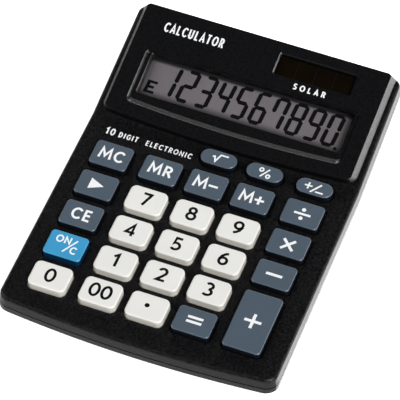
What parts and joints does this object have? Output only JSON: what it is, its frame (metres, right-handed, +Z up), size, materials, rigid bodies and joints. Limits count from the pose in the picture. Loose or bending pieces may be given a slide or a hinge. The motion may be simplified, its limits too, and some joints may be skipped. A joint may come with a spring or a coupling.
{
  "type": "desk calculator",
  "caption": "Black desk calculator with a sloping key deck, a raised tilted display head with a digit display and a solar cell, spring-back push keys and rubber feet.",
  "frame": {"origin": "centre of the footprint, on the surface that the rubber feet stand on", "axes": "+X to the user's right, +Y from the front edge to the back, +Z up"},
  "size_m": [0.1002, 0.1382, 0.032],
  "materials": {
    "case_black": "fine moulded grain, satin",
    "key_slate": "smooth satin, blue-grey",
    "key_white": "smooth, soft gloss, warm white",
    "key_blue": "smooth satin, bright blue",
    "clear_window": "clear polished plastic",
    "lcd_grey": "polariser sheet, soft sheen",
    "reflector_silver": "silvered film",
    "solar_brown": "polished glass over dark cell",
    "rubber_grey": "matt silicone",
    "pcb_green": "solder mask",
    "steel": "nickel plated",
    "epoxy_black": "cured epoxy",
    "foot_rubber": "matt",
    "ribbon_amber": "thin flexible film",
    "bracket_white": "plain moulded",
    "wire_red": "wire insulation",
    "wire_black": "wire insulation"
  },
  "bodies": {
    "case": {"top_case": "case_black", "rear_cover": "case_black", "keypad_membrane": "rubber_grey", "main_board": "pcb_green", "display_window": "clear_window", "lcd_glass": "lcd_grey", "lcd_reflector": "reflector_silver", "lcd_bracket": "bracket_white", "lcd_ribbon": "ribbon_amber", "solar_cell": "solar_brown", "chip_blob": "epoxy_black", "capacitor": "steel", "cell_contact": "steel", "button_cell": "steel", "cell_clip": "steel", "solar_lead_red": "wire_red", "solar_lead_black": "wire_black", "case_screw_front_left": "steel", "case_screw_front_right": "steel", "case_screw_rear_left": "steel", "case_screw_rear_right": "steel", "board_screw_left": "steel", "board_screw_right": "steel", "foot_front_left": "foot_rubber", "foot_front_right": "foot_rubber", "foot_rear_left": "foot_rubber", "foot_rear_right": "foot_rubber"},
    "key_mc": {"key_mc": "key_slate"},
    "key_mr": {"key_mr": "key_slate"},
    "key_m_minus": {"key_m_minus": "key_slate"},
    "key_m_plus": {"key_m_plus": "key_slate"},
    "key_divide": {"key_divide": "key_slate"},
    "key_sqrt": {"key_sqrt": "key_slate"},
    "key_percent": {"key_percent": "key_slate"},
    "key_sign": {"key_sign": "key_slate"},
    "key_backspace": {"key_backspace": "key_slate"},
    "key_7": {"key_7": "key_white"},
    "key_8": {"key_8": "key_white"},
    "key_9": {"key_9": "key_white"},
    "key_multiply": {"key_multiply": "key_slate"},
    "key_ce": {"key_ce": "key_slate"},
    "key_4": {"key_4": "key_white"},
    "key_5": {"key_5": "key_white"},
    "key_6": {"key_6": "key_white"},
    "key_minus": {"key_minus": "key_slate"},
    "key_on_clear": {"key_on_clear": "key_blue"},
    "key_1": {"key_1": "key_white"},
    "key_2": {"key_2": "key_white"},
    "key_3": {"key_3": "key_white"},
    "key_0": {"key_0": "key_white"},
    "key_00": {"key_00": "key_white"},
    "key_point": {"key_point": "key_white"},
    "key_equals": {"key_equals": "key_slate"},
    "key_plus": {"key_plus": "key_slate"}
  },
  "joints": [
    {"name": "press_mc", "type": "slide", "parent": "case", "child": "key_mc", "axis": [0, 0.0976, -0.9952], "range_m": [0, 0.001], "stiffness_N_per_m": 400},
    {"name": "press_mr", "type": "slide", "parent": "case", "child": "key_mr", "axis": [0, 0.0976, -0.9952], "range_m": [0, 0.001], "stiffness_N_per_m": 400},
    {"name": "press_m_minus", "type": "slide", "parent": "case", "child": "key_m_minus", "axis": [0, 0.0976, -0.9952], "range_m": [0, 0.001], "stiffness_N_per_m": 400},
    {"name": "press_m_plus", "type": "slide", "parent": "case", "child": "key_m_plus", "axis": [0, 0.0976, -0.9952], "range_m": [0, 0.001], "stiffness_N_per_m": 400},
    {"name": "press_divide", "type": "slide", "parent": "case", "child": "key_divide", "axis": [0, 0.0976, -0.9952], "range_m": [0, 0.001], "stiffness_N_per_m": 400},
    {"name": "press_sqrt", "type": "slide", "parent": "case", "child": "key_sqrt", "axis": [0, 0.0976, -0.9952], "range_m": [0, 0.001], "stiffness_N_per_m": 400},
    {"name": "press_percent", "type": "slide", "parent": "case", "child": "key_percent", "axis": [0, 0.0976, -0.9952], "range_m": [0, 0.001], "stiffness_N_per_m": 400},
    {"name": "press_sign", "type": "slide", "parent": "case", "child": "key_sign", "axis": [0, 0.0976, -0.9952], "range_m": [0, 0.001], "stiffness_N_per_m": 400},
    {"name": "press_backspace", "type": "slide", "parent": "case", "child": "key_backspace", "axis": [0, 0.0976, -0.9952], "range_m": [0, 0.001], "stiffness_N_per_m": 400},
    {"name": "press_7", "type": "slide", "parent": "case", "child": "key_7", "axis": [0, 0.0976, -0.9952], "range_m": [0, 0.001], "stiffness_N_per_m": 400},
    {"name": "press_8", "type": "slide", "parent": "case", "child": "key_8", "axis": [0, 0.0976, -0.9952], "range_m": [0, 0.001], "stiffness_N_per_m": 400},
    {"name": "press_9", "type": "slide", "parent": "case", "child": "key_9", "axis": [0, 0.0976, -0.9952], "range_m": [0, 0.001], "stiffness_N_per_m": 400},
    {"name": "press_multiply", "type": "slide", "parent": "case", "child": "key_multiply", "axis": [0, 0.0976, -0.9952], "range_m": [0, 0.001], "stiffness_N_per_m": 400},
    {"name": "press_ce", "type": "slide", "parent": "case", "child": "key_ce", "axis": [0, 0.0976, -0.9952], "range_m": [0, 0.001], "stiffness_N_per_m": 400},
    {"name": "press_4", "type": "slide", "parent": "case", "child": "key_4", "axis": [0, 0.0976, -0.9952], "range_m": [0, 0.001], "stiffness_N_per_m": 400},
    {"name": "press_5", "type": "slide", "parent": "case", "child": "key_5", "axis": [0, 0.0976, -0.9952], "range_m": [0, 0.001], "stiffness_N_per_m": 400},
    {"name": "press_6", "type": "slide", "parent": "case", "child": "key_6", "axis": [0, 0.0976, -0.9952], "range_m": [0, 0.001], "stiffness_N_per_m": 400},
    {"name": "press_minus", "type": "slide", "parent": "case", "child": "key_minus", "axis": [0, 0.0976, -0.9952], "range_m": [0, 0.001], "stiffness_N_per_m": 400},
    {"name": "press_on_clear", "type": "slide", "parent": "case", "child": "key_on_clear", "axis": [0, 0.0976, -0.9952], "range_m": [0, 0.001], "stiffness_N_per_m": 400},
    {"name": "press_1", "type": "slide", "parent": "case", "child": "key_1", "axis": [0, 0.0976, -0.9952], "range_m": [0, 0.001], "stiffness_N_per_m": 400},
    {"name": "press_2", "type": "slide", "parent": "case", "child": "key_2", "axis": [0, 0.0976, -0.9952], "range_m": [0, 0.001], "stiffness_N_per_m": 400},
    {"name": "press_3", "type": "slide", "parent": "case", "child": "key_3", "axis": [0, 0.0976, -0.9952], "range_m": [0, 0.001], "stiffness_N_per_m": 400},
    {"name": "press_0", "type": "slide", "parent": "case", "child": "key_0", "axis": [0, 0.0976, -0.9952], "range_m": [0, 0.001], "stiffness_N_per_m": 400},
    {"name": "press_00", "type": "slide", "parent": "case", "child": "key_00", "axis": [0, 0.0976, -0.9952], "range_m": [0, 0.001], "stiffness_N_per_m": 400},
    {"name": "press_point", "type": "slide", "parent": "case", "child": "key_point", "axis": [0, 0.0976, -0.9952], "range_m": [0, 0.001], "stiffness_N_per_m": 400},
    {"name": "press_equals", "type": "slide", "parent": "case", "child": "key_equals", "axis": [0, 0.0976, -0.9952], "range_m": [0, 0.001], "stiffness_N_per_m": 400},
    {"name": "press_plus", "type": "slide", "parent": "case", "child": "key_plus", "axis": [0, 0.0976, -0.9952], "range_m": [0, 0.001], "stiffness_N_per_m": 400}
  ]
}
